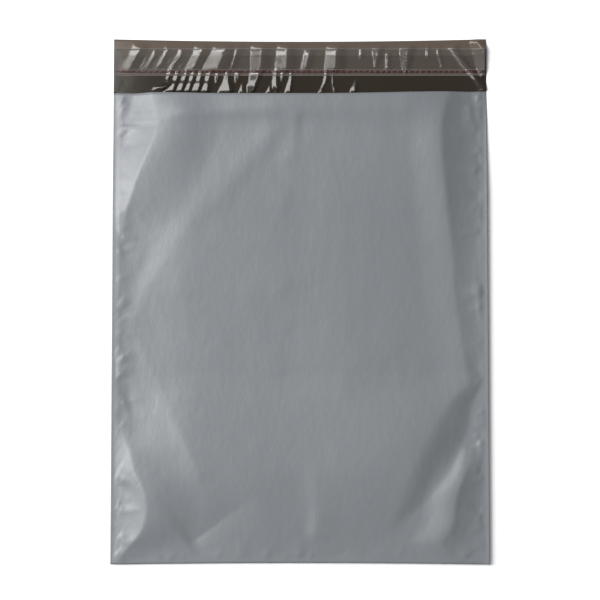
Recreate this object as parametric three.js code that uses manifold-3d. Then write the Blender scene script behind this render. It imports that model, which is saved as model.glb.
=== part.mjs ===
// Poly mailer bag: a self-seal courier bag of plastic film, lying on its back with its flap open.
//
// One sheet of film is folded at the bottom and welded down both sides, which leaves a pocket that opens
// at the mouth. The back of the bag runs on past the mouth as the flap. On the inside of the flap lie a
// strip of adhesive and the clear release liner that covers it until the bag is sealed.
//
// Units are millimetres. X runs across the bag, Y from the bottom fold to the flap, and Z up from the
// surface that the bag lies on. The origin is the middle of the footprint, on that surface.

import * as THREE from 'three';
import Module from 'manifold-3d';

const wasm = await Module();
wasm.setup();

// ---------- Driving dimensions ----------

// The bag measures 432 x 610 when it is pressed flat. The air in its pocket draws the outline in a little.
const WIDTH = 430;
const BODY_LENGTH = 541; // bottom fold to mouth
const FLAP_LENGTH = 61; // mouth to the end of the flap
const FILM = 0.063; // 2.5 mil polyethylene

const SIDE_WELD = 2; // the band down each side where front and back are fused
const BOTTOM_FOLD = 0.5; // the crease at the bottom, where the two layers are pressed together

const POCKET_HEIGHT = 22; // how far the front stands off the back in the middle
const MOUTH_HEIGHT = 9; // how far the mouth gapes in the middle
const EDGE_LIFT = 6; // how far the welds and the fold stand off the surface
const SIDE_CLIMB = 150; // how far in from a weld the front goes on climbing
const FOLD_CLIMB = 190; // how far up from the fold the front goes on climbing
const MOUTH_SLOPE = 260; // how far down from the mouth the front starts to sink
const SIDE_CURL = 75; // how far in from a weld the back lifts off the surface
const FOLD_CURL = 70; // how far up from the fold the back lifts off the surface
const SETTLE = 130; // how far down from the mouth the welds settle on to the surface

const LINER_WIDTH = 31.5;
const LINER_MARGIN = 11; // bare flap beyond the liner
const LINER = 0.04;
const ADHESIVE_WIDTH = 16.5;
const ADHESIVE_MARGIN = 19; // bare flap and dry liner beyond the adhesive
const ADHESIVE = 0.05;
const STRIP_INSET = 1.5; // both strips stop this far short of the trimmed sides

const COLUMNS = 22; // facets across the pocket
const ROWS = 26; // facets up the pocket
const CROWDING = 1.3; // above 1, facets crowd towards the edges, where the film curves most

// ---------- Places that follow from them ----------

const SIDE = WIDTH / 2;
const FLAP_END = (BODY_LENGTH + FLAP_LENGTH) / 2;
const BOTTOM = -FLAP_END;
const MOUTH = BOTTOM + BODY_LENGTH;
const POCKET_SIDE = SIDE - SIDE_WELD;
const POCKET_BOTTOM = BOTTOM + BOTTOM_FOLD;

// ---------- The bag's form ----------

const clamp01 = (value) => THREE.MathUtils.clamp(value, 0, 1);
const fromWeld = (x) => Math.max(0, POCKET_SIDE - Math.abs(x));
const fromFold = (y) => Math.max(0, y - POCKET_BOTTOM);

// From 0 to 1 over the given reach, steep at first and level at the end, as a filled edge climbs.
const climb = (distance, reach) => 1 - (1 - clamp01(distance / reach)) ** 2.4;

// From 1 to 0 over the given reach, as film that curls up from a surface.
const curl = (distance, reach) => (1 - clamp01(distance / reach)) ** 2;

// Free height inside the pocket: nothing at the welds and the fold, fullest in the middle, and low at
// the mouth.
function pocketHeight(x, y) {
  const sink = THREE.MathUtils.smoothstep(y, MOUTH - MOUTH_SLOPE, MOUTH);
  const crest = THREE.MathUtils.lerp(POCKET_HEIGHT, MOUTH_HEIGHT, sink);
  return crest * climb(fromWeld(x), SIDE_CLIMB) * climb(fromFold(y), FOLD_CLIMB);
}

// Underside of the back: on the surface in the middle and under the flap, lifted at the welds and the
// fold.
function backHeight(x, y) {
  const lift = Math.max(curl(fromWeld(x), SIDE_CURL), curl(fromFold(y), FOLD_CURL));
  const settled = THREE.MathUtils.smoothstep(y, MOUTH - SETTLE, MOUTH - SETTLE / 6);
  return EDGE_LIFT * lift * (1 - settled);
}

// Underside of the front. On the welds and the fold it sinks half a film into the back, as fused film
// does.
function frontHeight(x, y) {
  const fused = fromWeld(x) === 0 || fromFold(y) === 0;
  return backHeight(x, y) + (fused ? FILM / 2 : FILM + pocketHeight(x, y));
}

// ---------- Solids ----------

// Places from low to high that crowd towards both ends.
function crowded(low, high, count) {
  return Array.from({ length: count + 1 }, (_, i) => {
    const t = (2 * i) / count - 1;
    const share = Math.sign(t) * (1 - (1 - Math.abs(t)) ** CROWDING);
    return THREE.MathUtils.lerp(low, high, (1 + share) / 2);
  });
}

// A closed sheet of film over the grid of places xs by ys, with its underside at height(x, y). Each cell
// is cut along the same diagonal on both faces, so the faces stay a film apart where a cell is twisted.
function filmSheet(xs, ys, height) {
  const columns = xs.length - 1;
  const rows = ys.length - 1;
  const under = (i, j) => j * xs.length + i;
  const over = (i, j) => xs.length * ys.length + under(i, j);

  const positions = [];
  for (const rise of [0, FILM]) {
    for (const y of ys) {
      for (const x of xs) positions.push(x, y, height(x, y) + rise);
    }
  }

  const index = [];
  const addCell = (a, b, c, d) => index.push(a, b, c, a, c, d);
  for (let j = 0; j < rows; j++) {
    for (let i = 0; i < columns; i++) {
      addCell(over(i, j), over(i + 1, j), over(i + 1, j + 1), over(i, j + 1));
      addCell(under(i, j), under(i, j + 1), under(i + 1, j + 1), under(i + 1, j));
    }
  }
  for (let i = 0; i < columns; i++) {
    addCell(under(i, 0), under(i + 1, 0), over(i + 1, 0), over(i, 0));
    addCell(under(i + 1, rows), under(i, rows), over(i, rows), over(i + 1, rows));
  }
  for (let j = 0; j < rows; j++) {
    addCell(under(0, j + 1), under(0, j), over(0, j), over(0, j + 1));
    addCell(under(columns, j), under(columns, j + 1), over(columns, j + 1), over(columns, j));
  }

  const geometry = new THREE.BufferGeometry();
  geometry.setAttribute('position', new THREE.Float32BufferAttribute(positions, 3));
  geometry.setIndex(index);
  return geometry;
}

function toSolid(geometry) {
  const vertProperties = geometry.attributes.position.array;
  const triVerts = new Uint32Array(geometry.index.array);
  return new wasm.Manifold(new wasm.Mesh({ numProp: 3, vertProperties, triVerts }));
}

function toGeometry(solid) {
  const mesh = solid.getMesh();
  const geometry = new THREE.BufferGeometry();
  geometry.setAttribute('position', new THREE.BufferAttribute(mesh.vertProperties, 3));
  geometry.setIndex(new THREE.BufferAttribute(mesh.triVerts, 1));
  geometry.computeVertexNormals();
  return geometry;
}

// ---------- Bag film: front, fold, back and flap in one piece ----------

function bagFilm() {
  const xs = [-SIDE, ...crowded(-POCKET_SIDE, POCKET_SIDE, COLUMNS), SIDE];
  const frontYs = [BOTTOM, ...crowded(POCKET_BOTTOM, MOUTH, ROWS)];
  const backYs = [...frontYs, FLAP_END];
  const back = toSolid(filmSheet(xs, backYs, backHeight));
  const front = toSolid(filmSheet(xs, frontYs, frontHeight));
  return toGeometry(back.add(front));
}

// ---------- Strips on the inside of the flap ----------

// A strip across the flap with its underside at height z. Its far edge stops the given margin short of
// the flap's end.
function flapStrip(width, margin, thickness, z) {
  const geometry = new THREE.BoxGeometry(WIDTH - 2 * STRIP_INSET, width, thickness);
  geometry.translate(0, FLAP_END - margin - width / 2, z + thickness / 2);
  return geometry;
}

// ---------- Materials and assembly ----------

const greyFilm = new THREE.MeshStandardMaterial({ color: 0x84888c, roughness: 0.38, metalness: 0 });
const hotMelt = new THREE.MeshStandardMaterial({ color: 0x5a524a, roughness: 0.45, metalness: 0 });
const clearLiner = new THREE.MeshStandardMaterial({
  color: 0xb8b2ac,
  roughness: 0.15,
  metalness: 0,
  transparent: true,
  opacity: 0.35,
});

const bag = new THREE.Group();

function addPiece(name, geometry, material) {
  const mesh = new THREE.Mesh(geometry, material);
  mesh.name = name;
  bag.add(mesh);
}

addPiece('bag_film', bagFilm(), greyFilm);
addPiece('adhesive_strip', flapStrip(ADHESIVE_WIDTH, ADHESIVE_MARGIN, ADHESIVE, FILM), hotMelt);
addPiece('release_liner', flapStrip(LINER_WIDTH, LINER_MARGIN, LINER, FILM + ADHESIVE), clearLiner);

export default bag;
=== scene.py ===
# %% [markdown]
# # A poly mailer bag with its flap open
#
# A poly mailer is one sheet of plastic film. It is folded at the bottom and welded down both sides, and
# its back runs on past the mouth as a flap with a strip of adhesive under a clear release liner. This
# lesson makes the film as a thin closed shell, takes the front's small puckers from a cloth simulation,
# and then lays the adhesive and the liner on the flap. The frame gives the places and sizes of the
# pieces, so the lesson starts by loading it.

# %% Load the frame
import math

import bpy
import numpy as np
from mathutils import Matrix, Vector


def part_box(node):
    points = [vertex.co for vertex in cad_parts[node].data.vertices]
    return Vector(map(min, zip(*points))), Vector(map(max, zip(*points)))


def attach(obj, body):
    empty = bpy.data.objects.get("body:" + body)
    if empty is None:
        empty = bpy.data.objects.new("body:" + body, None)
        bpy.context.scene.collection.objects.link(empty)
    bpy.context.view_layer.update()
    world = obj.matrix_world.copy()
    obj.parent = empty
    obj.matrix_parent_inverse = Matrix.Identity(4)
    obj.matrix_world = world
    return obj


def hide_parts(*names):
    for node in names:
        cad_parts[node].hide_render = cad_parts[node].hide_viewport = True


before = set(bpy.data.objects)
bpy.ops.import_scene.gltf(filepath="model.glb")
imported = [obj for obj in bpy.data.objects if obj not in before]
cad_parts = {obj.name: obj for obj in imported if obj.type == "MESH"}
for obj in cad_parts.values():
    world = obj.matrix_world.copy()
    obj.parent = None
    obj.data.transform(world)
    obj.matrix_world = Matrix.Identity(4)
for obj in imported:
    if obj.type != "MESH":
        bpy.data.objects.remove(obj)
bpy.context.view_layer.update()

# %% [markdown]
# ## Places on the bag
#
# The bag lies on its back with X across it and Y towards the flap. The outline and the film's thickness
# come from the frame. The flat film is a little wider and longer, because the air in the pocket draws it
# in. The widths of the weld and the flap are what the frame's boxes don't give.

# %% Measure the frame
MM = 0.001
film_low, film_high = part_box("bag_film")
adhesive_low, adhesive_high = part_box("adhesive_strip")
liner_low, liner_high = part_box("release_liner")

SIDE = film_high.x  # half the bag's width
BOTTOM = film_low.y
FLAP_END = film_high.y
FILM = adhesive_low.z  # the adhesive lies on the flap, so its underside gives the film's thickness
FLAP = 61 * MM
MOUTH = FLAP_END - FLAP
WELD = 2 * MM
print(f"the mouth is at y = {MOUTH:.3f} m and the film is {FILM / MM:.3f} mm thick")

# %% [markdown]
# ## Camera, floor and lights
#
# The camera looks almost straight down, and leans 3 degrees towards the bottom fold. A long lens keeps
# the sides nearly parallel. Glossy film shows the shape of what lights it, so the key is one large soft
# box on the left: film that faces left glows, and film that faces right goes dark. The sheen is a narrow
# box further round towards the flap, which the flap's wrinkles mirror as bright streaks, and the low
# glint does the same for wrinkles that lean the other way. The world is a pale fill that stops the
# shadows from closing up.

# %% Aim the camera
scene = bpy.context.scene
CAMERA_DISTANCE = 1.8
CAMERA_TILT = math.radians(3.05)
LENS = 94.5
AIM = Vector((0, -0.9 * MM, 4 * MM))


def point_at(thing, place, target):
    """Puts a camera or light at a place and turns it towards a target, with +Y up in its view."""
    thing.location = place
    thing.rotation_euler = (target - place).to_track_quat("-Z", "Y").to_euler()


camera_data = bpy.data.cameras.new("camera")
camera_data.lens = LENS
camera = bpy.data.objects.new("camera", camera_data)
scene.collection.objects.link(camera)
lean = Vector((0, -math.sin(CAMERA_TILT), math.cos(CAMERA_TILT)))
point_at(camera, AIM + CAMERA_DISTANCE * lean, AIM)
scene.camera = camera
scene.view_settings.view_transform = "Standard"
print("camera at", [round(v, 3) for v in camera.location])


# %% Light the bag
def soft_box(name, place, width, height, watts):
    """A rectangular area light that faces the bag."""
    data = bpy.data.lights.new(name, "AREA")
    data.shape = "RECTANGLE"
    data.size = width
    data.size_y = height
    data.energy = watts
    light = bpy.data.objects.new(name, data)
    scene.collection.objects.link(light)
    point_at(light, Vector(place), Vector((0, 0, 0)))
    print(f"the {name} light has {watts} W")


soft_box("key", place=(-2.6, 0.35, 2.1), width=1.5, height=2.4, watts=133)
soft_box("sheen", place=(-1.3, 1.3, 2.6), width=0.45, height=1.9, watts=34)
soft_box("low glint", place=(-1.3, -0.65, 2.6), width=0.45, height=0.5, watts=6)

FILL_COLOUR = (0.97, 0.98, 1.0, 1)
FILL_STRENGTH = 0.37
world = bpy.data.worlds.new("world")
world.use_nodes = True
background = world.node_tree.nodes["Background"]
background.inputs["Color"].default_value = FILL_COLOUR
background.inputs["Strength"].default_value = FILL_STRENGTH
scene.world = world


# %% Lay the floor
def new_material(name, **values):
    """A material whose Principled shader takes the given values. In their names, _ stands for a space."""
    material = bpy.data.materials.new(name)
    material.use_nodes = True
    shader = material.node_tree.nodes["Principled BSDF"]
    for key, value in values.items():
        shader.inputs[key.replace("_", " ")].default_value = value
    return material


FLOOR_REACH = 12.0
FLOOR_COLOUR = (0.93, 0.93, 0.93, 1)
floor_mesh = bpy.data.meshes.new("floor")
floor_points = [(FLOOR_REACH * x, FLOOR_REACH * y, 0) for x, y in ((-1, -1), (1, -1), (1, 1), (-1, 1))]
floor_mesh.from_pydata(floor_points, [], [(0, 1, 2, 3)])
floor_mesh.materials.append(new_material("floor_paper", Base_Color=FLOOR_COLOUR, Roughness=0.9))
floor = bpy.data.objects.new("floor", floor_mesh)
scene.collection.objects.link(floor)
print(f"the floor is {2 * FLOOR_REACH:.0f} m wide")

# %% [markdown]
# ## The film's form
#
# The front is easiest to write as a height over the plan. An even pillow climbs from each weld and from
# the fold to a nearly level top. A real bag is never that even, so three more things are added to it:
# flanks, which are slopes that face a weld and wander in and out, creases, which are ridges and valleys
# along a route, and small puckers that run in from the seams. The helpers below give heights for whole
# grids of points at once.


# %% Shape helpers
def smooth(share):
    """A smooth step from 0 to 1, of a share from 0 to 1."""
    return share * share * (3 - 2 * share)


def ramp(value, start, end):
    """0 before start, 1 after end, and a smooth step between them. It runs backwards if end is lower."""
    return smooth(np.clip((value - start) / (end - start), 0, 1))


def curl(distance, reach):
    """From 1 to 0 over the given reach, as film that lifts off a surface towards its edge."""
    return (1 - np.clip(distance / reach, 0, 1)) ** 2


CREASE_GROWS = 0.15  # the share of a crease's length over which it reaches its full height
CREASE_FADES = 0.8  # the power with which it gets lower again towards its end


def crease(x, y, route, widths, height, sharp):
    """The height that a ridge, or a valley if height is negative, adds along a route of points in mm.

    Widths are its reach to the left and to the right of the route."""
    points = np.array(route, float) * MM
    steps = np.linalg.norm(np.diff(points, axis=0), axis=1)
    away = np.full(np.shape(x), np.inf)
    along = np.zeros(np.shape(x))
    run = 0.0
    for start, end, step in zip(points[:-1], points[1:], steps):
        along_x, along_y = (end - start) / step
        share = np.clip((x - start[0]) * along_x + (y - start[1]) * along_y, 0, step)
        off_x, off_y = x - start[0] - share * along_x, y - start[1] - share * along_y
        offset = np.hypot(off_x, off_y) * np.where(off_x * along_y - off_y * along_x < 0, -1, 1)
        closer = np.abs(offset) < np.abs(away)
        away = np.where(closer, offset, away)
        along = np.where(closer, run + share, along)
        run += step
    along = along / run
    taper = ramp(along, 0, CREASE_GROWS) * (1 - along) ** CREASE_FADES
    reach = np.where(away < 0, widths[0], widths[1]) * MM
    profile = np.exp(-np.abs(away) / reach) if sharp else np.exp(-((away / reach) ** 2))
    return height * MM * profile * taper


FAR_FADE = 95 * MM  # over which a slope comes down again to the weld on the far side
ROUNDING = np.linspace(-12, 12, 7)  # mm before and after a place, over which a flank's stops are averaged
PROFILES = {"soft": smooth, "sharp ridge": lambda share: share**1.2}


def between_stops(y, places, values):
    """Values in mm at places up the bag, joined up and rounded off where they turn, in metres."""
    return sum(np.interp(y / MM + shift, places, values) for shift in ROUNDING) / len(ROUNDING) * MM


def flank(from_weld, y, stops, keep, fall, profile):
    """A slope that faces a weld. A stop gives its place up the bag, its foot, its ridge and its rise, in mm.

    Behind the ridge the film falls back, over the given reach, to the share of the rise that it keeps, and
    it comes down to the weld on the far side."""
    places, feet, ridges, rises = np.array(sorted(stops)).T
    foot, ridge, rise = (between_stops(y, places, values) for values in (feet, ridges, rises))
    share = np.clip((from_weld - foot) / (ridge - foot), 0, 1)
    behind = ramp(from_weld, ridge, ridge + fall * MM)
    far_side = ramp(2 * (SIDE - WELD) - from_weld, 0, FAR_FADE)
    return rise * PROFILES[profile](share) * (1 - (1 - keep) * behind) * far_side


# %% Outline of the bag
TOP_BOW = 2.8 * MM  # how far the middle of the flap's end falls short of its corners
BOTTOM_BOW = 1.7 * MM
MOUTH_DROP = 1.7 * MM  # the cut edge of the front stops short of where the flap bends
MOUTH_BOW = 3.4 * MM
MOUTH_SKEW = 1.9 * MM  # how much higher the mouth is cut on the right


def bow(x):
    """1 on the bag's centreline and 0 at its sides."""
    return 1 - (x / SIDE) ** 2


def bottom_line(x):
    return BOTTOM + BOTTOM_BOW * bow(x)


def mouth_line(x):
    return MOUTH - MOUTH_DROP - MOUTH_BOW * bow(x) + MOUTH_SKEW * ramp(x, 0, SIDE)


def flap_line(x):
    return FLAP_END - TOP_BOW * bow(x)


# %% Height of the back
EDGE_LIFT = 3.5 * MM
SIDE_CURL = 75 * MM
FOLD_CURL = 0.93 * SIDE_CURL
SETTLING = 130 * MM  # how far below the mouth the back starts to come down to the floor
SETTLED = 20 * MM
ROLL = 1.3 * MM  # how far the right weld turns up
ROLL_REACH = 11 * MM
ROLL_END = 40 * MM  # how far below the mouth it starts to lie flat again


def back_height(x, y):
    """The back lies on the floor in the middle and under the flap, and lifts to the welds and the fold."""
    near_side = curl(SIDE - WELD - np.abs(x), SIDE_CURL)
    near_fold = curl(y - BOTTOM, FOLD_CURL)
    settled = ramp(y, MOUTH - SETTLING, MOUTH - SETTLED)
    rolled = ROLL * curl(SIDE - x, ROLL_REACH) * (1 - ramp(y, MOUTH - ROLL_END, MOUTH))
    return EDGE_LIFT * np.maximum(near_side, near_fold) * (1 - settled) + rolled


# %% Flanks and creases
# Each stop is its place up the bag, its foot and its ridge as distances in from the weld, and its rise, all
# in mm. After the stops come the share of the rise that is kept behind the ridge, the reach in mm over which
# it falls to that, and the profile of the slope.
LEFT_FLANKS = [
    # the top corner
    ([(88, 0, 10, 0), (103, 0, 15, 4.5), (146, 1, 29, 10.4), (174, 3, 42, 12.2), (190, 8, 48, 12.2),
      (200, 10, 50, 12), (217, 16, 50, 10.5), (228, 21, 45, 9), (242, 23, 40, 8)], 0.25, 75, "sharp ridge"),
    # the long slope that leans in from the middle of the side towards the top
    ([(-45, 10, 22, 0), (-26, 12, 26, 0.9), (14, 17, 42, 1.6), (37, 28, 58, 1.6), (71, 46, 80, 1.3),
      (102, 66, 103, 1), (157, 102, 132, 0.6), (190, 120, 145, 0)], 0.5, 90, "soft"),
    # the same, towards the fold
    ([(-30, 10, 26, 0), (-49, 11, 30, 1.2), (-75, 12, 42, 1.7), (-100, 15, 56, 2.3), (-135, 22, 70, 2.7),
      (-164, 30, 84, 2.9), (-192, 48, 96, 2.4), (-226, 78, 106, 1), (-245, 90, 112, 0)],
     0.65, 120, "sharp ridge"),
    # the bottom corner
    ([(-150, 2, 8, 0), (-166, 3, 19, 4.2), (-192, 3, 23, 7.2), (-212, 4, 33, 9), (-232, 4, 39, 9.6),
      (-261, 4, 37, 9.2), (-272, 4, 28, 6.4), (-284, 3, 15, 3.2), (-296, 2, 7, 0)], 0.3, 60, "sharp ridge"),
    # the wide slope just under the mouth
    ([(200, 30, 160, 0), (212, 20, 190, 4), (222, 12, 200, 8), (238, 12, 200, 8)], 0.9, 160, "soft"),
]
RIGHT_FLANKS = [
    # from the middle of the side up to the mouth
    ([(-110, 5, 16, 0), (-90, 6, 22, 3), (0, 11, 36, 4.6), (48, 11, 38, 5.5), (77, 10, 42, 8),
      (117, 9, 46, 10.5), (157, 8, 50, 12), (197, 8, 52, 11.5), (226, 11, 46, 7.5), (240, 16, 40, 3)],
     0.6, 40, "sharp ridge"),
    # the band that leans in towards the fold
    ([(-262, 98, 115, 0), (-255, 95, 114, 1.5), (-227, 64, 100, 4.5), (-192, 40, 88, 7.5),
      (-158, 21, 70, 8.5), (-129, 11, 54, 8.5), (-106, 7, 36, 6), (-92, 4, 18, 0)], 0.6, 120, "soft"),
    # the bottom corner
    ([(-297, 3, 30, 0), (-284, 3, 60, 4.5), (-261, 5, 40, 8.5), (-227, 5, 37, 9), (-204, 5, 28, 6.5),
      (-175, 5, 16, 0)], 0.2, 40, "sharp ridge"),
]
CREASES = [
    # (route, reach to each side, height, sharp)
    ([(-14, 214), (-52, 165), (-90, 120), (-140, 70)], (12, 16), 1.5, False),
    ([(-130, -281), (-51, -224)], (30, 14), -3.6, True),
    ([(-207, -87), (-197, -112), (-186, -137)], (7, 4), -2.2, True),
    ([(-189, 103), (-162, 63)], (2.5, 2.5), 0.5, True),
    ([(194, 226), (196, 208), (205, 190)], (5, 6), 2.4, True),
    ([(206, 238), (203, 225), (208, 205)], (7, 4), 1.6, True),
    ([(206, -96), (192, -160), (160, -227)], (16, 9), -1.8, False),
    ([(194, -160), (178, -204), (148, -235)], (13, 8), 2.8, False),
    ([(17, -278), (20, -235), (12, -185)], (8, 18), 1.8, False),
    ([(-165, 212), (-60, 217), (60, 218)], (26, 9), 2.6, False),
    ([(-4, 218), (-8, 148)], (5, 12), 1.1, False),
    ([(207, -20), (200, 30), (203, 70)], (4, 4), 1.2, True),
    ([(204, -150), (199, -128), (203, -100)], (5, 3), 1.4, True),
]

# %% Small puckers and faint creases
PUCKERS = 150
FAINT_CREASES = 26
WELD_START = 212  # mm from the centreline to where the puckers of a weld may start
WELD_MIDDLE, WELD_HALF = -30, 268  # the stretch of a weld that has puckers, in mm
FOLD_START, FOLD_HALF = -299, 205
UNDER_MOUTH = 232  # mm up the bag, above which no faint crease runs


def draw_pucker(chance):
    """A short ridge, or now and then a valley, that runs in from a weld or from the fold, in mm."""
    side = chance.choice([-1, 1, 0], p=[0.42, 0.38, 0.2])
    along_seam = chance.uniform(-0.98, 0.98)
    length = chance.uniform(9, 30)
    slant = chance.normal(0, 0.55)
    start = chance.uniform(1, 8)
    if side:
        x, y = side * (WELD_START - start), WELD_MIDDLE + WELD_HALF * along_seam
        end = (x - side * length * math.cos(slant), y + length * math.sin(slant))
    else:
        x, y = FOLD_HALF * along_seam, FOLD_START + start
        end = (x + length * math.sin(slant), y + 0.8 * length * math.cos(slant))
    width = chance.uniform(2.6, 5.5)
    direction = chance.choice([-0.7, 1], p=[0.25, 0.75])
    rise = direction * chance.uniform(0.16, 0.42) * width * (1 if side else 0.6)
    return [(x, y), end], (width, 1.4 * width), rise, True


def draw_faint_crease(chance):
    """A long faint fold across the middle, in mm."""
    x, y = chance.uniform(-150, 150), chance.uniform(-250, 220)
    length = chance.uniform(50, 130)
    heading = math.pi * (0.28 + 0.4 * chance.uniform(0, 1))
    end = (x + length * math.cos(heading), min(y + length * math.sin(heading), UNDER_MOUTH))
    width = chance.uniform(5, 14)
    return [(x, y), end], (width, 1.5 * width), 0.03 * width, False


chance = np.random.default_rng(5)
drawn = [draw_pucker(chance) for _ in range(PUCKERS)]
drawn += [draw_faint_crease(chance) for _ in range(FAINT_CREASES)]
print(len(CREASES), "creases are placed by hand and", len(drawn), "are drawn at random")

# %% Height of the front
POCKET = 4.5 * MM  # how far the even pillow stands off the back in the middle
LEFT_CLIMB = 85 * MM  # how far in from each seam the pillow reaches its full height
RIGHT_CLIMB = 150 * MM
FOLD_CLIMB = 110 * MM
WELD_FADE = 8 * MM  # how close to a seam the creases start to fade
FOLD_FADE = 12 * MM


def pillow_height(x, y):
    """How high an even pillow stands over the floor."""
    climb = ramp(x + SIDE - WELD, 0, LEFT_CLIMB) * ramp(SIDE - WELD - x, 0, RIGHT_CLIMB)
    return back_height(x, y) + POCKET * climb * ramp(y, BOTTOM, BOTTOM + FOLD_CLIMB)


def front_height(x, y):
    """How high the front stands over the floor: the pillow with its flanks and creases."""
    from_left = SIDE - WELD + x
    from_right = SIDE - WELD - x
    height = pillow_height(x, y)
    for flanks, from_weld in ((LEFT_FLANKS, from_left), (RIGHT_FLANKS, from_right)):
        for stops, keep, fall, profile in flanks:
            height = height + flank(from_weld, y, stops, keep, fall, profile)
    inside = np.clip(np.minimum(from_left, from_right) / WELD_FADE, 0, 1)
    inside = inside * np.clip((y - BOTTOM) / FOLD_FADE, 0, 1)
    for route, widths, rise, sharp in CREASES + drawn:
        height = height + inside * crease(x, y, route, widths, rise, sharp)
    return height


# %% [markdown]
# ## The grid of the sheet
#
# Both faces of the bag use one grid, so that they meet cleanly at the welds. Film puckers most near a
# weld, so the columns crowd there and are wider apart in the middle. The front shows all the wrinkles, so
# each cell of the back is four cells of the front. The flap is one sheet with the back, but its wrinkles
# are narrow, so each column of the back splits in four where the flap starts. The flap's rows come in
# three parts: from the mouth to the liner, under the liner, and from the liner to the flap's end.

# %% Columns and rows
COLUMNS = 76
BODY_ROWS = 90
FINER = 2  # cells of the front to each cell of the back, both ways
SPLIT = 4  # columns of the flap to each column of the back
CROWDING = 1.12
ROW_GROWTH = 1.06  # the rows near the fold are a little closer than those near the mouth
BARE_ROWS = 12  # rows of the flap from the mouth to the liner
LOW_MARGIN_ROWS = 4  # under the liner, from its curled edge to the adhesive
ADHESIVE_ROWS = 10
HIGH_MARGIN_ROWS = 3
END_ROWS = 6
EDGE_REACH = 1.2 * MM  # the width of the liner's curled edges


def crowded(count):
    """Shares from 0 to 1 that crowd towards both ends."""
    t = np.linspace(-1, 1, count + 1)
    return 0.5 + 0.5 * np.sign(t) * (1 - (1 - np.abs(t)) ** CROWDING)


def refined(places, parts):
    """The places, with each gap between two of them cut into equal parts."""
    return np.interp(np.arange(parts * (len(places) - 1) + 1) / parts, np.arange(len(places)), places)


pocket_side = SIDE - WELD
across = np.concatenate([[-SIDE], (2 * crowded(COLUMNS) - 1) * pocket_side, [SIDE]])
up_body = np.linspace(0, 1, BODY_ROWS + 1) ** ROW_GROWTH


def grid(columns, shares, low_line, high_line):
    """X and Y of a grid whose rows run from one line across the bag to another."""
    x = np.tile(columns, (len(shares), 1))
    return x, low_line(x) + shares[:, None] * (high_line(x) - low_line(x))


X_BACK, Y_BACK = grid(across, up_body, bottom_line, mouth_line)
X_FRONT, Y_FRONT = grid(refined(across, FINER), refined(up_body, FINER), bottom_line, mouth_line)

# under the liner the flap's rows are straight, and shared by the three layers, so that they can't cross
strip_rows = np.concatenate([
    [liner_low.y, liner_low.y + 0.5 * EDGE_REACH],
    np.linspace(liner_low.y + EDGE_REACH, adhesive_low.y, LOW_MARGIN_ROWS + 1)[:-1],
    np.linspace(adhesive_low.y, adhesive_high.y, ADHESIVE_ROWS + 1)[:-1],
    np.linspace(adhesive_high.y, liner_high.y - EDGE_REACH, HIGH_MARGIN_ROWS + 1),
    [liner_high.y - 0.5 * EDGE_REACH, liner_high.y],
])
across_flap = refined(across, SPLIT)
to_liner = np.linspace(0, 1, BARE_ROWS + 1)[:-1]
to_end = np.linspace(0, 1, END_ROWS + 1)[1:]
flap_parts = [
    grid(across_flap, to_liner, mouth_line, lambda x: np.full_like(x, liner_low.y)),
    np.meshgrid(across_flap, strip_rows),
    grid(across_flap, to_end, lambda x: np.full_like(x, liner_high.y), flap_line),
]
X_FLAP, Y_FLAP = (np.concatenate([part[axis] for part in flap_parts]) for axis in (0, 1))
FLAP_ROWS = len(X_FLAP) - 1
print("grid points: front", X_FRONT.shape, "back", X_BACK.shape, "flap", X_FLAP.shape)

# %% Points of the front and the back
front = np.dstack([X_FRONT, Y_FRONT, front_height(X_FRONT, Y_FRONT)])
back = np.dstack([X_BACK, Y_BACK, back_height(X_BACK, Y_BACK)])
under_front = np.dstack([X_FRONT, Y_FRONT, back_height(X_FRONT, Y_FRONT)])
fused = np.zeros(X_FRONT.shape, bool)
fused[:, :FINER + 1] = True
fused[:, -FINER - 1:] = True
fused[0, :] = True
front[fused] = under_front[fused]
print(f"the front stands up to {front[..., 2].max() / MM:.1f} mm over the floor")

# %% [markdown]
# ## The cloth simulation
#
# Modelled creases alone look too regular beside a seam, so a simulation adds the small puckers. Only an
# even pillow is simulated as cloth. It is pinned to the welds and the fold, light pressure holds it up,
# and it is given a little more film than its outline needs, because a heat seal shrinks the weld beside
# it. The slack gathers in puckers that run in from the seams. What the cloth moved, less the broad part
# of that movement, is then added to the modelled front. The back serves as the surface that the cloth
# may not pass.

# %% Cloth helpers
SIMULATION_FRAMES = 14
CLOTH_GAP = 0.3 * MM


def grid_faces(rows, columns):
    """Index quads of a grid of points, counterclockwise from above."""
    index = np.arange(rows * columns).reshape(rows, columns)
    quads = np.stack([index[:-1, :-1], index[:-1, 1:], index[1:, 1:], index[1:, :-1]], axis=-1)
    return quads.reshape(-1, 4)


def new_object(name, points, faces):
    """A smooth-shaded mesh object at the origin."""
    mesh = bpy.data.meshes.new(name)
    mesh.from_pydata(np.asarray(points).tolist(), [], [list(face) for face in faces])
    mesh.polygons.foreach_set("use_smooth", [True] * len(mesh.polygons))
    made = bpy.data.objects.new(name, mesh)
    scene.collection.objects.link(made)
    return made


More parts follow.
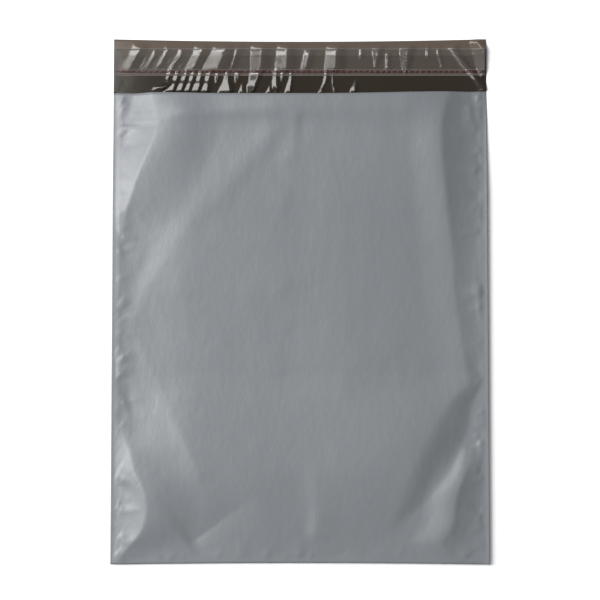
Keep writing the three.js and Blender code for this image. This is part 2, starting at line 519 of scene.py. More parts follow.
def simulated(points, under, held, near_weld):
    """The points after cloth has settled over the sheet under it, with the held points kept still."""
    faces = grid_faces(*held.shape)
    cloth_object = new_object("cloth", points.reshape(-1, 3), faces)
    rest = new_object("rest", under.reshape(-1, 3), faces)
    rest.modifiers.new("collision", "COLLISION")
    rest.collision.thickness_outer = CLOTH_GAP
    pins = cloth_object.vertex_groups.new(name="held")
    pins.add(np.flatnonzero(held).tolist(), 1.0, "REPLACE")
    cloth = cloth_object.modifiers.new("cloth", "CLOTH")
    settings = cloth.settings
    settings.quality = 6
    settings.mass = 0.0003
    settings.tension_stiffness = 30
    settings.compression_stiffness = 30
    settings.shear_stiffness = 12
    settings.bending_stiffness = 0.12
    settings.air_damping = 2
    settings.vertex_group_mass = "held"
    settings.use_pressure = True
    settings.uniform_pressure_force = 0.35
    slack = cloth_object.vertex_groups.new(name="slack")
    for index, share in enumerate(near_weld.ravel()):
        slack.add([index], float(share), "REPLACE")
    settings.vertex_group_shrink = "slack"
    settings.shrink_min = -0.001
    settings.shrink_max = -0.014
    settings.effector_weights.gravity = 0
    cloth.collision_settings.distance_min = CLOTH_GAP
    cloth.point_cache.frame_end = SIMULATION_FRAMES
    for number in range(1, SIMULATION_FRAMES + 1):
        scene.frame_set(number)
    evaluated = cloth_object.evaluated_get(bpy.context.evaluated_depsgraph_get())
    settled = np.array([v.co for v in evaluated.data.vertices]).reshape(points.shape)
    for made in (cloth_object, rest):
        bpy.data.objects.remove(made)
    scene.frame_set(1)
    return settled


BLUR_STEP = 3 * MM  # about what one average spreads


def blurred(values, reach):
    """Grid values averaged over about a reach, by repeated small averages."""
    result = values.copy()
    for _ in range(int(reach / BLUR_STEP) ** 2):
        padded = np.pad(result, ((1, 1), (1, 1), (0, 0)), mode="edge")
        result = 0.25 * (padded[:-2, 1:-1] + padded[2:, 1:-1] + padded[1:-1, :-2] + padded[1:-1, 2:])
    return result


# %% Simulate the pillow and keep its puckers
SLACK_REACH = 30 * MM  # how far in from a seam the film is slack
PUCKER_REACH = 24 * MM
PUCKER_FADE = 6 * MM
near_weld = np.exp(-((SIDE - WELD - np.abs(X_FRONT)) / SLACK_REACH) ** 2)
near_weld = np.maximum(near_weld, np.exp(-((Y_FRONT - BOTTOM) / SLACK_REACH) ** 2))
pillow = np.dstack([X_FRONT, Y_FRONT, pillow_height(X_FRONT, Y_FRONT)])
pillow[fused] = under_front[fused]
moved = simulated(pillow, under_front, fused, near_weld) - pillow
puckers = moved - blurred(moved, PUCKER_REACH)
print(f"the puckers are up to {np.abs(puckers[..., 2]).max() / MM:.1f} mm high")
from_seam = np.minimum(pocket_side - np.abs(X_FRONT), Y_FRONT - bottom_line(X_FRONT))
front = front + puckers * ramp(from_seam, 0, PUCKER_FADE)[..., None]

# %% Keep the front off the back
LEAST_GAP = 0.4 * MM
SOFTNESS = 0.6 * MM
GAP_CLOSES = 5 * MM  # how close to a seam the gap starts to close


def kept_off(points):
    """The points lifted, where they need it, to a small gap over the back that closes at the welds."""
    x, y, z = np.moveaxis(points, -1, 0)
    inside = np.clip((pocket_side - np.abs(x)) / GAP_CLOSES, 0, 1)
    inside = inside * np.clip((y - bottom_line(x)) / GAP_CLOSES, 0, 1)
    under = back_height(x, y)
    gap = z - under
    least = inside * LEAST_GAP
    gap = 0.5 * (gap + least + np.sqrt((gap - least) ** 2 + (inside * SOFTNESS) ** 2))
    return np.dstack([x, y, under + gap])


front = np.where(fused[..., None], front, kept_off(front))
print(f"with its puckers the front stands up to {front[..., 2].max() / MM:.1f} mm over the floor")

# %% [markdown]
# ## The flap's wrinkles
#
# Adhesive shrinks as it cools, and draws the flap into narrow wrinkles that run towards its end. Each has
# a flat left face, which mirrors the sheen light, and falls back on its right. Under the liner they are
# streaks that lean like a fan. Below it the film is bare, and they are spikes that open towards the
# mouth. The film, the adhesive and the liner share one height, and each layer adds its own thickness.

# %% Places of the wrinkles
# Each stop is its place up the bag and the left edge and right edge of the bright face, all in mm.
STREAKS = [
    [(266, -206, -198), (290, -193.5, -184.5)], [(269, -179, -177), (283, -170.5, -167.5)],
    [(269, -166, -162.5), (288, -156.5, -153)], [(256, -154, -152), (267, -152, -148.5), (285, -141, -136.5)],
    [(266, -133, -124), (289, -122, -113)], [(266, -114.5, -96), (289, -101, -86.5)],
    [(266, -86, -80), (289, -80, -72.5)], [(266, -57, -46), (290, -57, -44.5)],
    [(266, -29.5, -16.5), (290, -26.5, -15)], [(266, 0, 6), (285, 4, 11)], [(266, 27.5, 40), (290, 30, 42)],
    [(280, 68, 70.5), (287, 68, 71)], [(269, 85, 87), (289, 82.5, 90)], [(267, 98, 101), (283, 98, 101.5)],
    [(262, 118.5, 122), (289, 114, 124)], [(280, 145, 147.5), (289, 144.5, 147.5)],
    [(269, 161.5, 164), (287, 157, 159.5)],
    [(240, 204.5, 212.5), (246, 202.5, 210), (255, 197, 203.5), (262, 190.5, 197), (281, 175.5, 182.5),
     (289, 169, 177)],
    [(256, 205.5, 209), (267, 203, 212.5), (277, 201, 212.5), (288, 198, 212), (297, 195.5, 205)],
]
SPIKES = [
    [(243, -171, -160), (247, -163, -152), (250, -154, -150)],
    [(239, -158, -147.5), (249, -152, -143.5), (253, -147, -142), (263, -143, -140.5)],
    [(239, -147, -138), (249, -142.5, -134), (253, -138, -132.5), (263, -133, -130)],
    [(239, -137.5, -129), (249, -133, -125.5), (253, -129, -124), (263, -125, -121.5)],
    [(239, -128.5, -118.5), (249, -124.5, -115), (253, -120.5, -115), (263, -117, -113)],
    [(239, -118, -107), (249, -114, -105.5), (253, -110, -105), (263, -107, -103)],
    [(251, -97.5, -95.5), (256, -98, -94.5), (263, -97.5, -94)],
    [(239, -95, -80.5), (246, -92, -80.5), (252, -88.5, -82), (261, -86.5, -83)],
    [(250, -74.5, -72), (255, -75.5, -71), (262, -75, -71)],
    [(239, -71, -65.5), (244, -69, -66), (248, -67.5, -66)],
    [(239, -61.5, -55), (247, -61.5, -51.5), (252, -59, -50), (262, -58, -46.5)],
    [(239, -31, -26.5), (244, -35, -26), (250, -33, -26.5), (257, -31, -27), (263, -31, -27)],
    [(239, -39.5, -34.5), (244, -37, -34), (248, -35, -33.5)],
    [(251, -22, -20.5), (257, -23, -19.5), (263, -22.5, -19.5)],
    [(239, -18, -11.5), (249, -15, -10), (256, -12.5, -9), (263, -12, -9.5)],
    [(239, 20.5, 25.5), (244, 23, 26), (251, 26, 30), (257, 27.5, 31), (264, 28, 31)],
    [(239, 38.5, 41.5), (248, 37, 39), (262, 36, 38)],
    [(239, 57, 63.5), (244, 58, 64), (249, 61, 65), (254, 63.5, 65.5)],
]

# %% Height of the wrinkles
TILT = 0.245  # slope of a bright face in the middle
TILT_GAIN = 0.4  # how much it grows to the right, since the sheen light is then further round to the left
STREAK_FADES = (3 * MM, 7 * MM)  # how far a wrinkle runs on, getting lower, before and after its stops
SPIKE_FADES = (1 * MM, 3 * MM)
STREAK_BACK = 1.1  # width of the face behind, as a share of the bright one
SPIKE_BACK = 0.3
LEAST_BACK = 1.5 * MM
WRINKLES_START = (5 * MM, 2 * MM)  # how far below the mouth they start and are at full height


def ripple_height(x, y):
    """How far the flap's wrinkles stand off the floor."""
    total = np.zeros(np.shape(x))
    wrinkles = [(stops, STREAK_FADES, STREAK_BACK) for stops in STREAKS]
    wrinkles += [(stops, SPIKE_FADES, SPIKE_BACK) for stops in SPIKES]
    for stops, fades, back_share in wrinkles:
        places, lefts, rights = np.array(sorted(stops)).T * MM
        left, right = np.interp(y, places, lefts), np.interp(y, places, rights)
        window = ramp(y, places[0] - fades[0], places[0]) * ramp(y, places[-1] + fades[1], places[-1])
        face = np.clip((x - left) / (right - left), 0, 1)
        back_face = ramp(x, right, right + back_share * (right - left) + LEAST_BACK)
        rise = (TILT + TILT_GAIN * left) * (right - left)
        total = np.maximum(total, rise * window * face * (1 - back_face))
    start, full = WRINKLES_START
    return total * ramp(y, MOUTH - start, MOUTH - full)


flap = np.dstack([X_FLAP, Y_FLAP, ripple_height(X_FLAP, Y_FLAP)])
flap[0, :, 2] = 0
print(f"{len(STREAKS) + len(SPIKES)} wrinkles stand up to {flap[..., 2].max() / MM:.1f} mm off the floor")

# %% [markdown]
# ## Closing the shell
#
# The sheet has a real thickness, so the film is a closed shell. The outside goes over the front, round
# the welds and the fold, and on along the back to the end of the flap. The inside lines the pocket and
# carries on as the flap's upper face. Front and back are fused in the weld, so nothing lies between them
# there. Building the faces one by one keeps the outside and the inside apart, and each gets its own
# colour.

# %% Layers of the shell
OUTSIDE, INSIDE, WELDED = 0, 1, 2


def upwards(points):
    """Unit normals of a grid of points, on its upper side."""
    found = np.cross(np.gradient(points, axis=1), np.gradient(points, axis=0))
    return found / np.linalg.norm(found, axis=-1, keepdims=True)


HAIR = 0.1 * FILM  # what is left between the two inner faces at a weld
top = BODY_ROWS  # the back's last row, at the mouth, which is the flap's first
right = len(across) - 1
layers = {
    "front_outside": front + (2 * FILM + HAIR) * upwards(front),
    "front_inside": front + (FILM + HAIR) * upwards(front),
    "back_inside": back + FILM * upwards(back),
    "back_outside": back,
    "flap_inside": flap + FILM * upwards(flap),
    "flap_outside": flap,
}
first_number = dict(zip(layers, np.cumsum([0] + [points[..., 0].size for points in layers.values()])))


def number(layer, row, column):
    """A point's number in the shell. The back's last row is the flap's first."""
    if layer.startswith("back") and row == top:
        return number(layer.replace("back", "flap"), 0, SPLIT * column)
    return int(first_number[layer] + row * layers[layer].shape[1] + column)


# %% Faces of the shell
shell_faces = []
shell_slots = []


def add_face(corners, slot, flip=False):
    shell_faces.append(corners[::-1] if flip else corners)
    shell_slots.append(slot)


def add_sheet(layer, rows, columns, slot, faces_down=False):
    """Faces over a range of rows and columns. Every cell is cut the same way, so that no layers cross."""
    for row in range(*rows):
        for column in range(*columns):
            a, b, c, d = (number(layer, row + r, column + c) for r, c in ((0, 0), (0, 1), (1, 1), (1, 0)))
            add_face([a, b, c], slot, faces_down)
            add_face([a, c, d], slot, faces_down)


def add_join(layer, columns, slot, faces_down=False):
    """The back's last row of faces, whose far edges are split where the flap starts."""
    flap_layer = layer.replace("back", "flap")
    for column in range(*columns):
        near = [number(layer, top - 1, column), number(layer, top - 1, column + 1)]
        far = [number(flap_layer, 0, SPLIT * (column + 1) - step) for step in range(SPLIT + 1)]
        add_face(near + far, slot, faces_down)


def add_strip(lower, upper, places, slot, parts=1):
    """Faces along (row, column) places from a layer up to one with that many times finer cells."""
    for here, there in zip(places[:-1], places[1:]):
        down, over = there[0] - here[0], there[1] - here[1]
        upper_corners = [number(upper, parts * here[0] + step * down, parts * here[1] + step * over)
                         for step in range(parts, -1, -1)]
        add_face([number(lower, *here), number(lower, *there)] + upper_corners, slot)


fine_top = FINER * top
fine_right = FINER * right
inner = (FINER, fine_right - FINER)  # the front's columns between the welds
add_sheet("front_outside", (0, fine_top), inner, OUTSIDE)
add_sheet("front_outside", (0, fine_top), (0, FINER), WELDED)
add_sheet("front_outside", (0, fine_top), (fine_right - FINER, fine_right), WELDED)
add_sheet("front_inside", (0, fine_top), inner, INSIDE, faces_down=True)
add_sheet("back_inside", (0, top - 1), (1, right - 1), INSIDE)
add_join("back_inside", (1, right - 1), INSIDE)
add_sheet("back_outside", (0, top - 1), (0, right), OUTSIDE, faces_down=True)
add_join("back_outside", (0, right), OUTSIDE, faces_down=True)
add_sheet("flap_inside", (0, FLAP_ROWS), (0, SPLIT * right), INSIDE)
add_sheet("flap_outside", (0, FLAP_ROWS), (0, SPLIT * right), OUTSIDE, faces_down=True)
print("the layers have", len(shell_faces), "faces")

# %% Edges of the shell
add_strip("back_outside", "front_outside", [(row, 0) for row in range(top - 1, -1, -1)], WELDED, FINER)
add_strip("back_outside", "front_outside", [(row, right) for row in range(top)], WELDED, FINER)
add_strip("back_outside", "front_outside", [(0, column) for column in range(right + 1)], OUTSIDE, FINER)
add_strip("back_inside", "front_inside", [(row, 1) for row in range(top + 1)], INSIDE, FINER)
add_strip("back_inside", "front_inside", [(row, right - 1) for row in range(top, -1, -1)], INSIDE, FINER)
add_strip("back_inside", "front_inside", [(0, column) for column in range(right - 1, 0, -1)], INSIDE, FINER)
mouth_edge = [(fine_top, column) for column in range(inner[1], inner[0] - 1, -1)]
add_strip("front_inside", "front_outside", mouth_edge, OUTSIDE)
for edge in (
    [(row, 0) for row in range(FLAP_ROWS, -1, -1)],
    [(row, SPLIT * right) for row in range(FLAP_ROWS + 1)],
    [(FLAP_ROWS, column) for column in range(SPLIT * right, -1, -1)],
):
    add_strip("flap_outside", "flap_inside", edge, INSIDE)

# at each end of the mouth, the weld's cut end and the last piece of its side take in the extra corners
for outer, step, flip in ((0, 1, False), (right, -1, True)):
    flap_points = [number("flap_inside", 0, SPLIT * outer + step * n) for n in range(SPLIT + 1)]
    front_points = [number("front_outside", fine_top, FINER * outer + step * n) for n in range(FINER, -1, -1)]
    weld_end = number("front_inside", fine_top, FINER * (outer + step))
    add_face(flap_points + [weld_end] + front_points, WELDED, not flip)
    side_points = [number("front_outside", fine_top - n, FINER * outer) for n in range(FINER, -1, -1)]
    back_points = [number("back_outside", top, outer), number("back_outside", top - 1, outer)]
    add_face(back_points + side_points + [flap_points[0]], WELDED, flip)
print("with its edges the shell has", len(shell_faces), "faces")

# %% Build the film
def triangle_count(thing):
    return sum(len(polygon.vertices) - 2 for polygon in thing.data.polygons)


used = sorted({corner for face in shell_faces for corner in face})
new_number = {old: new for new, old in enumerate(used)}
all_points = np.concatenate([points.reshape(-1, 3) for points in layers.values()])
film_faces = [[new_number[corner] for corner in face] for face in shell_faces]
film = new_object("film", all_points[used], film_faces)
film.data.polygons.foreach_set("material_index", shell_slots)
print("the film has", triangle_count(film), "triangles")

# %% [markdown]
# ## Adhesive and liner
#
# The adhesive is a band of hot melt a twentieth of a millimetre thick, and the liner is a clear strip
# that covers it and a margin on each side. Both are thin closed slabs that follow the flap's wrinkles.
# The liner rests on the small dots in which the adhesive is laid, and its two cut edges curl up a little.

# %% Strips on the flap
LINER = liner_high.z - liner_low.z
ADHESIVE = adhesive_high.z - adhesive_low.z
CLEAR = 0.01 * MM  # air between the layers, so that no two faces share a place
DOT_HEIGHT = 0.05 * MM  # how high a dot of adhesive stands
OVER_DOTS = DOT_HEIGHT + 3 * CLEAR
EDGE_CURL = 0.4 * MM
STEP_RIDGE = 0.12 * MM  # where the liner comes down off the edge of the adhesive
SNAP = 0.1 * MM  # how far past a strip's edge a line of the flap's grid still counts as inside it


def closed_sheet(under, thickness):
    """Points and faces of a closed thin sheet on a grid of points. Cells are cut as the film's are."""
    over = under + thickness * upwards(under)
    quads = grid_faces(*under.shape[:2])
    flat = np.concatenate([quads[:, [0, 1, 2]], quads[:, [0, 2, 3]]])
    count = under[..., 0].size
    index = np.arange(count).reshape(under.shape[:2])
    edge = np.concatenate([index[0, :], index[1:, -1], index[-1, -2::-1], index[-2::-1, 0]])
    rim = np.stack([edge[:-1], edge[1:], edge[1:] + count, edge[:-1] + count], axis=-1)
    faces = flat[:, ::-1].tolist() + (flat + count).tolist() + rim.tolist()
    return np.concatenate([under.reshape(-1, 3), over.reshape(-1, 3)]), faces


def strip(name, low, high, height, thickness):
    """A closed strip on the flap's own grid, between two corners of a frame box."""
    columns = across_flap[np.abs(across_flap) < high.x + SNAP]
    rows = strip_rows[(strip_rows > low.y - SNAP) & (strip_rows < high.y + SNAP)]
    x, y = np.meshgrid(columns, rows)
    return new_object(name, *closed_sheet(np.dstack([x, y, height(x, y)]), thickness))


def adhesive_height(x, y):
    return ripple_height(x, y) + FILM + CLEAR


def liner_height(x, y):
    """The liner lies on the adhesive, steps down at its edges, and curls up along its own cut edges."""
    to_edge = np.minimum(y - liner_low.y, liner_high.y - y)
    to_step = np.minimum(np.abs(y - adhesive_low.y), np.abs(y - adhesive_high.y))
    raised = STEP_RIDGE * curl(to_step, EDGE_REACH) + EDGE_CURL * curl(to_edge, EDGE_REACH)
    return adhesive_height(x, y) + ADHESIVE + OVER_DOTS + raised


adhesive = strip("adhesive", adhesive_low, adhesive_high, adhesive_height, ADHESIVE)
liner = strip("liner", liner_low, liner_high, liner_height, LINER)
for piece in (adhesive, liner):
    print("the", piece.name, "has", triangle_count(piece), "triangles")

# %% [markdown]
# ## What repeats on the strip
#
# Hot melt is rolled on through a patterned roller, which leaves rows of small dots, and a broken line is
# printed along the liner's lower half to show where to peel. Both are one small shape repeated on a
# surface, so one Geometry Nodes tree makes them: it sets the shape out on a grid, shifts every second
# row by half a step, varies its size, and then drops each point on to the surface below it.

# %% Helpers for node trees
def feed(tree, socket, value):
    """Links another node's output to a socket, or sets the socket to a plain value."""
    if isinstance(value, bpy.types.NodeSocket):
        tree.links.new(value, socket)
    else:
        socket.default_value = value


def calculate(tree, operation, first, second=0.0):
    """The output of a math node. Its operands are numbers or other nodes' outputs."""
    node = tree.nodes.new("ShaderNodeMath")
    node.operation = operation
    for socket, value in zip(node.inputs, (first, second)):
        feed(tree, socket, value)
    return node.outputs[0]


# %% A tree that lays shapes on a surface
def tree_input(tree, name, kind, default=None):
    socket = tree.interface.new_socket(name=name, in_out="INPUT", socket_type=kind)
    if default is not None:
        socket.default_value = default
    return socket


def build_surface_repeat():
    """A Geometry Nodes group that repeats its input shape over a surface."""
    tree = bpy.data.node_groups.new("repeat_on_surface", "GeometryNodeTree")
    tree_input(tree, "Shape", "NodeSocketGeometry")
    tree_input(tree, "Surface", "NodeSocketObject")
    tree_input(tree, "Length", "NodeSocketFloat", 0.4)
    tree_input(tree, "Width", "NodeSocketFloat", 0.01)
    tree_input(tree, "Columns", "NodeSocketInt", 10)
    tree_input(tree, "Rows", "NodeSocketInt", 2)
    tree_input(tree, "Middle", "NodeSocketVector")
    tree_input(tree, "Least Scale", "NodeSocketVector", (1, 1, 1))
    tree_input(tree, "Most Scale", "NodeSocketVector", (1, 1, 1))
    tree_input(tree, "Lift", "NodeSocketFloat", 0.0)
    tree_input(tree, "Seed", "NodeSocketInt", 1)
    tree_input(tree, "Material", "NodeSocketMaterial")
    tree.interface.new_socket(name="Geometry", in_out="OUTPUT", socket_type="NodeSocketGeometry")
    nodes, links = tree.nodes, tree.links

    def add(kind, **settings):
        node = nodes.new(kind)
        for name, value in settings.items():
            setattr(node, name, value)
        return node

    given = add("NodeGroupInput").outputs
    places = add("GeometryNodeMeshGrid")
    links.new(given["Length"], places.inputs["Size X"])
    links.new(given["Width"], places.inputs["Size Y"])
    links.new(given["Columns"], places.inputs["Vertices X"])
    links.new(given["Rows"], places.inputs["Vertices Y"])

    # every second row moves half a step along
    index = add("GeometryNodeInputIndex")
    row = calculate(tree, "MODULO", index.outputs[0], given["Rows"])
    odd = calculate(tree, "MODULO", row, 2)
    step = calculate(tree, "DIVIDE", given["Length"], given["Columns"])
    half_step = calculate(tree, "MULTIPLY", step, 0.5)
    shift = add("ShaderNodeCombineXYZ")
    links.new(calculate(tree, "MULTIPLY", odd, half_step), shift.inputs["X"])
    total_shift = add("ShaderNodeVectorMath", operation="ADD")
    links.new(shift.outputs[0], total_shift.inputs[0])
    links.new(given["Middle"], total_shift.inputs[1])
    set_out = add("GeometryNodeSetPosition")
    links.new(places.outputs["Mesh"], set_out.inputs["Geometry"])
    links.new(total_shift.outputs[0], set_out.inputs["Offset"])

    scale = add("FunctionNodeRandomValue", data_type="FLOAT_VECTOR")
    links.new(given["Least Scale"], scale.inputs[0])
    links.new(given["Most Scale"], scale.inputs[1])
    links.new(given["Seed"], scale.inputs["Seed"])
    copies = add("GeometryNodeInstanceOnPoints")
    links.new(set_out.outputs[0], copies.inputs["Points"])
    links.new(given["Shape"], copies.inputs["Instance"])
    links.new(scale.outputs[0], copies.inputs["Scale"])
    real = add("GeometryNodeRealizeInstances")
    links.new(copies.outputs[0], real.inputs[0])

    # a ray straight down from each point finds the surface, and its height is added to the point's own
    surface = add("GeometryNodeObjectInfo", transform_space="RELATIVE")
    links.new(given["Surface"], surface.inputs["Object"])
    place = add("GeometryNodeInputPosition")
    above = add("ShaderNodeVectorMath", operation="ADD")
    links.new(place.outputs[0], above.inputs[0])
    above.inputs[1].default_value = (0, 0, 1)
    ray = add("GeometryNodeRaycast")
    links.new(surface.outputs["Geometry"], ray.inputs["Target Geometry"])
    links.new(above.outputs[0], ray.inputs["Source Position"])
    ray.inputs["Ray Direction"].default_value = (0, 0, -1)
    landed = add("ShaderNodeSeparateXYZ")
    links.new(ray.outputs["Hit Position"], landed.inputs[0])
    rise = add("ShaderNodeCombineXYZ")
    links.new(calculate(tree, "ADD", landed.outputs["Z"], given["Lift"]), rise.inputs["Z"])
    drop = add("GeometryNodeSetPosition")
    links.new(real.outputs[0], drop.inputs["Geometry"])
    links.new(ray.outputs["Is Hit"], drop.inputs["Selection"])
    links.new(rise.outputs[0], drop.inputs["Offset"])
    finish = add("GeometryNodeSetMaterial")
    links.new(drop.outputs[0], finish.inputs["Geometry"])
    links.new(given["Material"], finish.inputs["Material"])
    smooth = add("GeometryNodeSetShadeSmooth")
    links.new(finish.outputs[0], smooth.inputs[0])
    links.new(smooth.outputs[0], add("NodeGroupOutput").inputs[0])
    return tree


surface_repeat = build_surface_repeat()


def repeated(name, points, faces, **values):
    """The shape of the given points and faces, repeated by the tree and made a plain mesh."""
    made = new_object(name, points, faces)
    modifier = made.modifiers.new("repeat", "NODES")
    modifier.node_group = surface_repeat
    identifiers = {item.name: item.identifier for item in surface_repeat.interface.items_tree}
    for key, value in values.items():
        modifier[identifiers[key.replace("_", " ")]] = value
    evaluated = made.evaluated_get(bpy.context.evaluated_depsgraph_get())
    mesh = bpy.data.meshes.new_from_object(evaluated)
    made.modifiers.remove(modifier)
    made.data = mesh
    print(name, "has", triangle_count(made), "triangles")
    return made


# %% [markdown]
# ## Finishes
#
# The film is satin outside and glossy inside. It is never quite smooth: it has soft dimples where it was
# handled, fine crinkles, and on most pieces a faint grain along its length, where it was drawn. That
# pattern is on every piece here, so it is one shader group, and each material sets its own bump height.

# %% A shader group for film texture
def build_film_texture():
    """The height and the cloudiness of drawn plastic film, from a position in metres."""
    group = bpy.data.node_groups.new("film_texture", "ShaderNodeTree")
    group.interface.new_socket(name="Place", in_out="INPUT", socket_type="NodeSocketVector")
    for name, default in (("Dimple Scale", 45.0), ("Crinkle Scale", 160.0), ("Crinkle", 0.4), ("Grain", 0.1)):
        socket = group.interface.new_socket(name=name, in_out="INPUT", socket_type="NodeSocketFloat")
        socket.default_value = default
    for name in ("Height", "Cloud"):
        group.interface.new_socket(name=name, in_out="OUTPUT", socket_type="NodeSocketFloat")
    nodes, links = group.nodes, group.links
    given = nodes.new("NodeGroupInput").outputs

    def noise(stretch, scale, detail, roughness):
        mapping = nodes.new("ShaderNodeMapping")
        mapping.inputs["Scale"].default_value = stretch
        links.new(given["Place"], mapping.inputs["Vector"])
        node = nodes.new("ShaderNodeTexNoise")
        node.inputs["Detail"].default_value = detail
        node.inputs["Roughness"].default_value = roughness
        links.new(mapping.outputs[0], node.inputs["Vector"])
        feed(group, node.inputs["Scale"], scale)
        return node.outputs["Fac"]

    dimples = noise((1, 0.6, 1), given["Dimple Scale"], 2, 0.4)
    crinkles = noise((1, 0.55, 1), given["Crinkle Scale"], 3, 0.55)
    grain = noise((1, 0.04, 1), 900.0, 2, 0.5)
    crinkled = calculate(group, "MULTIPLY", crinkles, given["Crinkle"])
    grained = calculate(group, "MULTIPLY", grain, given["Grain"])
    height = calculate(group, "ADD", calculate(group, "ADD", dimples, crinkled), grained)
    out = nodes.new("NodeGroupOutput")
    links.new(height, out.inputs["Height"])
    links.new(noise((1, 0.5, 1), 9.0, 3, 0.5), out.inputs["Cloud"])
    return group


film_texture = build_film_texture()


def textured(name, dark, light, rough, bump_height, grain=0.1, **values):
    """A film finish: colour and roughness drift between two values, and the film texture is its bump."""
    material = new_material(name, **values)
    nodes, links = material.node_tree.nodes, material.node_tree.links
    shader = nodes["Principled BSDF"]
    place = nodes.new("ShaderNodeTexCoord")
    texture = nodes.new("ShaderNodeGroup")
    texture.node_tree = film_texture
    texture.inputs["Grain"].default_value = grain
    links.new(place.outputs["Object"], texture.inputs["Place"])
    colour = nodes.new("ShaderNodeMix")
    colour.data_type = "RGBA"
    colour.inputs["A"].default_value = (*dark, 1)
    colour.inputs["B"].default_value = (*light, 1)
    links.new(texture.outputs["Cloud"], colour.inputs["Factor"])
    links.new(colour.outputs["Result"], shader.inputs["Base Color"])
    roughness = nodes.new("ShaderNodeMapRange")
    roughness.inputs["From Min"].default_value = 0.3
    roughness.inputs["From Max"].default_value = 0.7
    roughness.inputs["To Min"].default_value = rough[0]
    roughness.inputs["To Max"].default_value = rough[1]
    links.new(texture.outputs["Cloud"], roughness.inputs["Value"])
    links.new(roughness.outputs["Result"], shader.inputs["Roughness"])
    bump = nodes.new("ShaderNodeBump")
    bump.inputs["Distance"].default_value = bump_height
    links.new(texture.outputs["Height"], bump.inputs["Height"])
    links.new(bump.outputs["Normal"], shader.inputs["Normal"])
    return material


# %% Materials
grey_film = textured("grey_film", dark=(0.158, 0.167, 0.178), light=(0.172, 0.181, 0.192),
                     rough=(0.36, 0.43), bump_height=0.6 * MM, grain=0.0)
brown_film = textured("brown_film", dark=(0.015, 0.0105, 0.006), light=(0.022, 0.016, 0.009),
                      rough=(0.1, 0.14), bump_height=0.08 * MM, Specular_IOR_Level=0.4)
welded_film = textured("welded_film", dark=(0.14, 0.146, 0.154), light=(0.155, 0.162, 0.17),
                       rough=(0.35, 0.42), bump_height=0.2 * MM)
hot_melt = textured("hot_melt", dark=(0.035, 0.028, 0.022), light=(0.045, 0.037, 0.03),
                    rough=(0.4, 0.5), bump_height=0.1 * MM)
clear_liner = textured("clear_liner", dark=(0.098, 0.082, 0.067), light=(0.112, 0.095, 0.08),
                       rough=(0.11, 0.15), bump_height=0.05 * MM, Alpha=0.6, IOR=1.6)
dash_ink = textured("dash_ink", dark=(0.034, 0.007, 0.003), light=(0.05, 0.012, 0.007),
                    rough=(0.3, 0.4), bump_height=0.05 * MM)

for material in (grey_film, brown_film, welded_film):
    film.data.materials.append(material)
adhesive.data.materials.append(hot_melt)
liner.data.materials.append(clear_liner)
print("materials:", [material.name for material in bpy.data.materials])

# %% [markdown]
# ## Bands and dots on the flap
#
# Colour changes along the flap's length in a few straight bands. The film past the liner is painted
# lighter, a painted reflection of a flap end that curls up. The liner is darker where it sticks to the
# adhesive. Thin light lines along each cut edge and along the adhesive's lower edge are painted
# highlights, where those edges curl and catch the light, and the cut edges are also a little milky. Where
# the adhesive lies, the liner also shows its dots: a checker of small bumps, of which every second one
# is duller and lighter.


# %% Helpers for colour along the flap
def object_place(tree):
    """The X, Y and Z of the shaded point in its object's own space."""
    place = tree.nodes.new("ShaderNodeTexCoord")
    parts = tree.nodes.new("ShaderNodeSeparateXYZ")
    tree.links.new(place.outputs["Object"], parts.inputs[0])
    return parts.outputs


def mix_over(tree, mask, colour):
    """Mixes a colour over the base colour that a material has so far."""
    base = tree.nodes["Principled BSDF"].inputs["Base Color"]
    mix = tree.nodes.new("ShaderNodeMix")
    mix.data_type = "RGBA"
    tree.links.new(mask, mix.inputs["Factor"])
    tree.links.new(base.links[0].from_socket, mix.inputs["A"])
    mix.inputs["B"].default_value = (*colour, 1)
    tree.links.new(mix.outputs["Result"], base)


def add_band(material, colour, low, high, soft):
    """Mixes a colour in between two places along Y. Its edges are soft over the given reach."""
    tree = material.node_tree
    y = object_place(tree)["Y"]
    sides = []
    for edge, step in ((low, soft), (high, -soft)):
        side = tree.nodes.new("ShaderNodeMapRange")
        side.inputs["From Min"].default_value = edge
        side.inputs["From Max"].default_value = edge + step
        tree.links.new(y, side.inputs["Value"])
        sides.append(side.outputs["Result"])
    mix_over(tree, calculate(tree, "MULTIPLY", *sides), colour)


def add_dot_screen(material, pitch, low, high, bump_height, dulling, colour):
    """A checker of small bumps between two places along Y, half of them duller and of another colour."""
    tree = material.node_tree
    shader = tree.nodes["Principled BSDF"]
    place = object_place(tree)
    wave_x, wave_y = (calculate(tree, "SINE", calculate(tree, "MULTIPLY", place[axis], math.pi / pitch))
                      for axis in ("X", "Y"))
    above = calculate(tree, "GREATER_THAN", place["Y"], low)
    beneath = calculate(tree, "LESS_THAN", place["Y"], high)
    window = calculate(tree, "MULTIPLY", above, beneath)
    height = calculate(tree, "MULTIPLY", calculate(tree, "MULTIPLY", wave_x, wave_y), window)
    bump = tree.nodes.new("ShaderNodeBump")
    bump.inputs["Distance"].default_value = bump_height
    tree.links.new(height, bump.inputs["Height"])
    tree.links.new(shader.inputs["Normal"].links[0].from_socket, bump.inputs["Normal"])
    tree.links.new(bump.outputs["Normal"], shader.inputs["Normal"])
    dot = calculate(tree, "GREATER_THAN", height, DOT_MASK)
    dull = calculate(tree, "MULTIPLY", dot, dulling)
    roughness = calculate(tree, "ADD", shader.inputs["Roughness"].links[0].from_socket, dull)
    tree.links.new(roughness, shader.inputs["Roughness"])
    mix_over(tree, dot, colour)
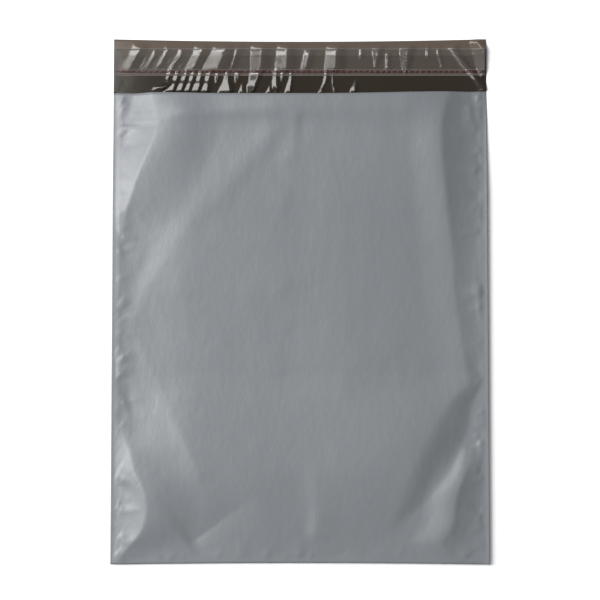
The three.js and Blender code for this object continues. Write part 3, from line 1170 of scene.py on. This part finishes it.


# %% Bands and dots
# painted reflection: the film past the liner is painted lighter, as if its curled end mirrored the room
PAINTED_END_REFLECTION = (0.09, 0.069, 0.053)
WETTED_COLOUR = (0.038, 0.029, 0.021)  # where the liner sticks to the adhesive
# painted highlight, partly the milky look of a cut edge: the thin light lines along the liner's edges
PAINTED_EDGE_HIGHLIGHT = (0.2, 0.175, 0.155)
DOT_COLOUR = (0.12, 0.1, 0.082)
DOT_DULLING = 0.7
DOT_BUMP = 0.03 * MM
DOT_MASK = 0.1  # the share of a bump's height at which its dull part starts
DOT_PITCH = 1.9 * MM
SOFT_EDGE = 0.3 * MM
HIGHLIGHT_IN = 0.9 * MM  # how far the light lines reach in from an edge
# the painted reflection on the flap's end
add_band(brown_film, PAINTED_END_REFLECTION, liner_high.y - 2 * MM, FLAP_END + 2 * MM, soft=2 * MM)
add_band(clear_liner, WETTED_COLOUR, liner_low.y + 3 * MM, adhesive_high.y, SOFT_EDGE)
add_dot_screen(clear_liner, DOT_PITCH, adhesive_low.y, adhesive_high.y, DOT_BUMP, DOT_DULLING, DOT_COLOUR)
# painted highlights along the liner's cut edges and along the adhesive's lower edge
lines = [
    (liner_low.y - MM, liner_low.y + HIGHLIGHT_IN),
    (liner_high.y - HIGHLIGHT_IN, liner_high.y + MM),
    (adhesive_low.y - HIGHLIGHT_IN, adhesive_low.y + 0.2 * MM),
]
for low, high in lines:
    add_band(clear_liner, PAINTED_EDGE_HIGHLIGHT, low, high, SOFT_EDGE)
print("the liner has", len(lines), "light lines, and dots every", DOT_PITCH / MM, "mm")

# %% Dots of adhesive
DOT = 0.55 * MM  # radius at its foot
DOT_TOP = 0.45  # radius at its top, as a share of that
DOT_SIDES = 6
angles = 2 * math.pi * np.arange(DOT_SIDES) / DOT_SIDES
ring = [(DOT * math.cos(a), DOT * math.sin(a)) for a in angles]
dot_points = [(x, y, 0) for x, y in ring] + [(DOT_TOP * x, DOT_TOP * y, DOT_HEIGHT) for x, y in ring]
dot_faces = [list(range(DOT_SIDES))[::-1], list(range(DOT_SIDES, 2 * DOT_SIDES))]
for side in range(DOT_SIDES):
    after = (side + 1) % DOT_SIDES
    dot_faces.append([side, after, DOT_SIDES + after, DOT_SIDES + side])
adhesive_length = adhesive_high.x - adhesive_low.x - 2 * DOT_PITCH
adhesive_width = adhesive_high.y - adhesive_low.y - DOT_PITCH
dots = repeated(
    "adhesive_dots", dot_points, dot_faces, Surface=adhesive, Length=adhesive_length, Width=adhesive_width,
    Columns=round(adhesive_length / DOT_PITCH) + 1, Rows=round(adhesive_width / DOT_PITCH) + 1,
    Middle=(0, (adhesive_low.y + adhesive_high.y) / 2, 0), Least_Scale=(0.75, 0.75, 0.6),
    Most_Scale=(1.1, 1.1, 1.0), Seed=4, Material=hot_melt,
)

# %% Printed dashes
DASH_PITCH = 6.6 * MM
DASH_LENGTH = 5.4 * MM
DASH_WIDTH = 3.2 * MM
DASH_COLUMNS = 6  # cells of a dash, so that it can follow the wrinkles
DASH_ROWS = 3
DASH_PLACE = 4.7 * MM  # above the liner's lower edge
INK = 0.015 * MM
dash_x, dash_y = np.meshgrid(np.linspace(-0.5, 0.5, DASH_COLUMNS + 1) * DASH_LENGTH,
                             np.linspace(-0.5, 0.5, DASH_ROWS + 1) * DASH_WIDTH)
dash_points, dash_faces = closed_sheet(np.dstack([dash_x, dash_y, np.zeros(dash_x.shape)]), INK)
dash_length = liner_high.x - liner_low.x - 2 * DASH_PITCH
dashes = repeated(
    "printed_dashes", dash_points, dash_faces, Surface=liner, Length=dash_length, Width=0.0,
    Columns=round(dash_length / DASH_PITCH) + 1, Rows=1, Middle=(0, liner_low.y + DASH_PLACE, 0), Lift=CLEAR,
    Least_Scale=(0.6, 0.7, 1), Most_Scale=(1.2, 1.05, 1), Seed=9, Material=dash_ink,
)

# %% [markdown]
# ## Attaching each piece
#
# Each piece rides on the bag's one body and replaces the plain solid that stood for it.

# %% Ride and replace
for piece, node, slot in ((film, "bag_film", "bag_film"), (adhesive, "adhesive_strip", "adhesive"),
                          (liner, "release_liner", "liner")):
    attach(piece, "root")
    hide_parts(node)
for piece, slot in ((dots, "adhesive"), (dashes, "liner")):
    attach(piece, "root")
